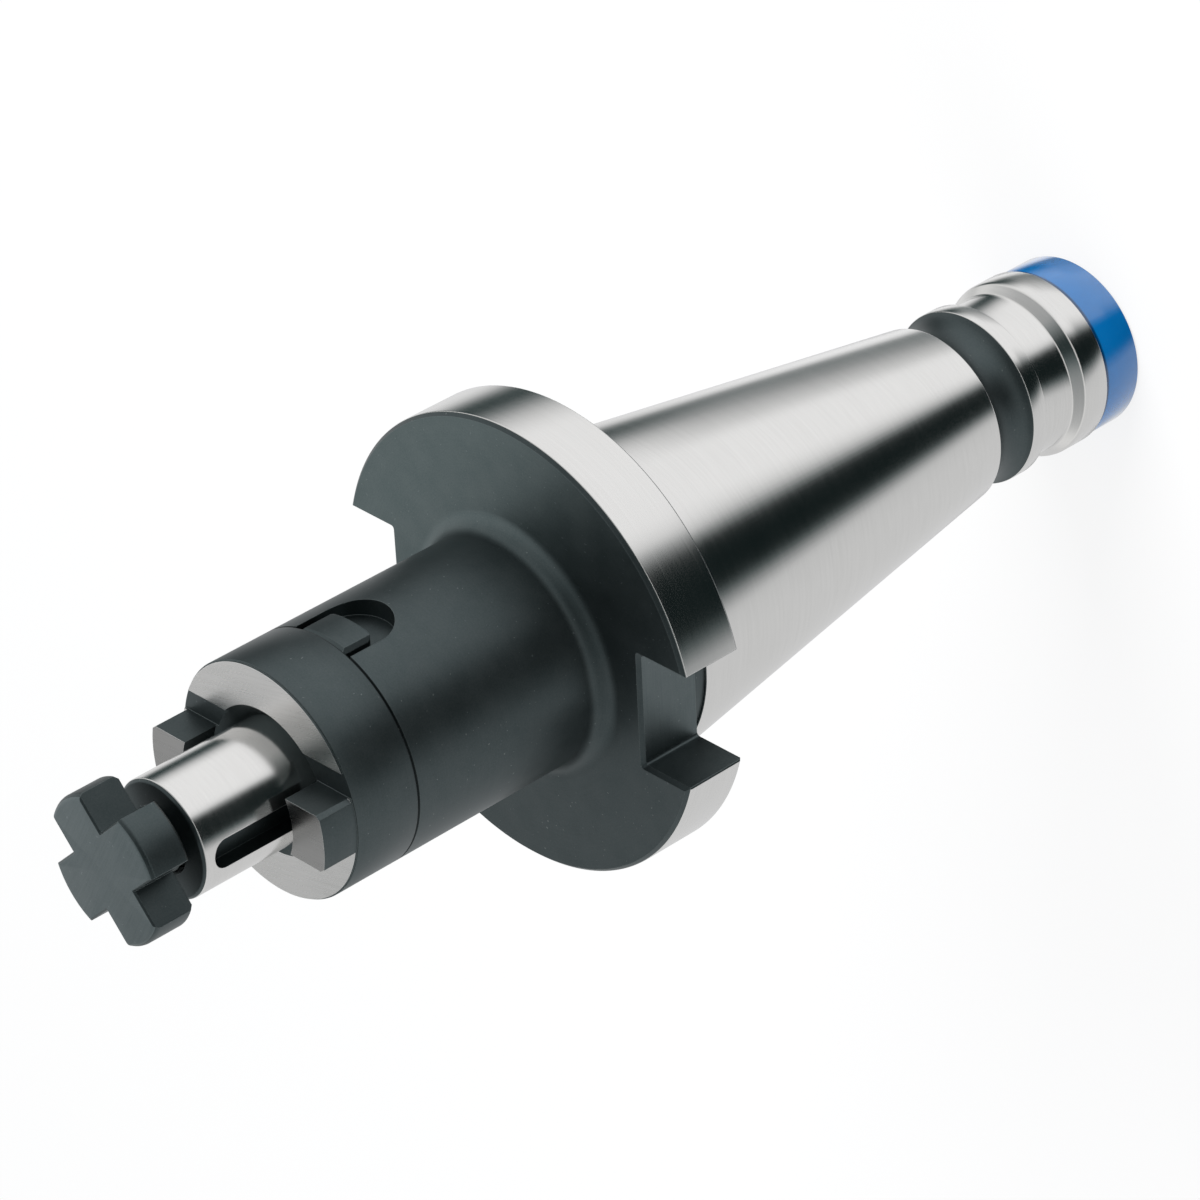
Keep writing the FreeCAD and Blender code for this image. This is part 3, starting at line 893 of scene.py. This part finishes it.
def make_studio():
    """White to the eye; the metal mirrors soft panels round about and a bright strip at eye level."""
    world = bpy.data.worlds.new("studio")
    bpy.context.scene.world = world
    nodes = Nodes(world)
    direction = nodes.node("ShaderNodeTexCoord", {}, {}, "Generated")
    height = nodes.split(direction, "Z")
    around = nodes.turn(direction)
    below = nodes.blend(nodes.spread(height, -0.60, -0.68), nodes.ramp(around, below_levels()),
                        nodes.ramp(around, lowest_levels()))
    panels = nodes.blend(nodes.spread(height, -0.2, 0.26), below, nodes.ramp(around, above_levels()))
    strip = nodes.spread(nodes.reckon("ABSOLUTE", height - 0.02, 0.0), 0.18, 0.06)
    mirrored = nodes.blend(strip, panels, (0.85, 0.85, 0.85, 1.0))
    plain = nodes.blend(seen_plainly(nodes), (0.62, 0.63, 0.65, 1.0), (1.0, 1.0, 1.0, 1.0))
    gloss = nodes.node("ShaderNodeLightPath", {}, {}, "Is Glossy Ray")
    shown = nodes.blend(gloss, plain, mirrored)
    sky = nodes.node("ShaderNodeBackground", {}, {"Color": shown, "Strength": 1.0})
    nodes.node("ShaderNodeOutputWorld", {}, {"Surface": sky})


def soft_lamp(name, place, aim, size, watts):
    lamp = bpy.data.lights.new(name, "AREA")
    lamp.shape = "SQUARE"
    lamp.size = size
    lamp.energy = watts
    holder = bpy.data.objects.new(name, lamp)
    holder.location = place
    holder.rotation_euler = (Vector(aim) - Vector(place)).to_track_quat("-Z", "Y").to_euler()
    holder.visible_glossy = False
    bpy.context.scene.collection.objects.link(holder)


def make_camera():
    """The picture's viewing angle, with the camera rolled so that the arbor lies across the frame."""
    lens = bpy.data.cameras.new("camera")
    lens.lens = 155.54
    lens.sensor_width = 36.0
    lens.clip_start = 0.01
    holder = bpy.data.objects.new("camera", lens)
    place = Vector((0.41203, 0.34934, 0.37353))
    toward = Vector((-0.62523, -0.53038, -0.57253))
    level = toward.to_track_quat("-Z", "Y")
    roll = Quaternion((0, 0, 1), math.radians(-118.82))
    holder.location = place
    holder.rotation_euler = (level @ roll).to_euler()
    bpy.context.scene.collection.objects.link(holder)
    bpy.context.scene.camera = holder


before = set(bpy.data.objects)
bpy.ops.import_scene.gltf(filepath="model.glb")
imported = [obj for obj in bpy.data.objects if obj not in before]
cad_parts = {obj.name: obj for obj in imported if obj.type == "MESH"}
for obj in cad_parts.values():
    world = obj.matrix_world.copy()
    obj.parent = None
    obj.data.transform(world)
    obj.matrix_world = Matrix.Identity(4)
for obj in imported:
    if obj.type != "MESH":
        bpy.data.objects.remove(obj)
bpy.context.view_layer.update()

bpy.context.scene.view_settings.view_transform = "Standard"
turned_steel = ground_steel("ground_steel")
flat_steel = ground_steel("ground_steel_flat", 15.0)
# A darker copy of the ground steel: painted shade on the lugs' fronts.
lug_steel_painted_shade = ground_steel("ground_steel_lugs", 7.0, 0.53)
oxide = black_oxide("black_oxide")
milled_oxide = black_oxide("black_oxide_milled", 100.0)
# A darker copy of the oxide with no lightened edges: painted shade where ring and shoulder meet.
joint_shade_oxide = black_oxide("black_oxide_sheltered", level=0.35, edge_wear_and_highlight=0.0)
# The face oxide carries painted light on the flange's face.
face_oxide_painted_light = black_oxide("black_oxide_face", painted_light_side=True)
# A lighter copy of the oxide: painted light on the drive slots' floors.
slot_floor_oxide_painted_light = black_oxide("black_oxide_floor", 90.0, level=1.35)
# A lighter copy of the oxide, for the front of the screw's cross.
lighter_front_oxide = black_oxide("black_oxide_worn", 60.0, level=1.7)
make_arbor([oxide, turned_steel, slot_floor_oxide_painted_light, joint_shade_oxide, face_oxide_painted_light])
make_ring([oxide, flat_steel, milled_oxide, joint_shade_oxide, lug_steel_painted_shade])
make_screw([oxide, turned_steel, milled_oxide, joint_shade_oxide, lighter_front_oxide])
make_colour_ring(blue_plastic())
make_floor()
make_studio()
soft_lamp("key_lamp", (-0.12, 0.9, 0.7), (0, 0, 0), 0.7, 13)
soft_lamp("fill_lamp", (0.5, -0.9, 0.6), (0, 0, 0), 0.9, 6)
make_camera()
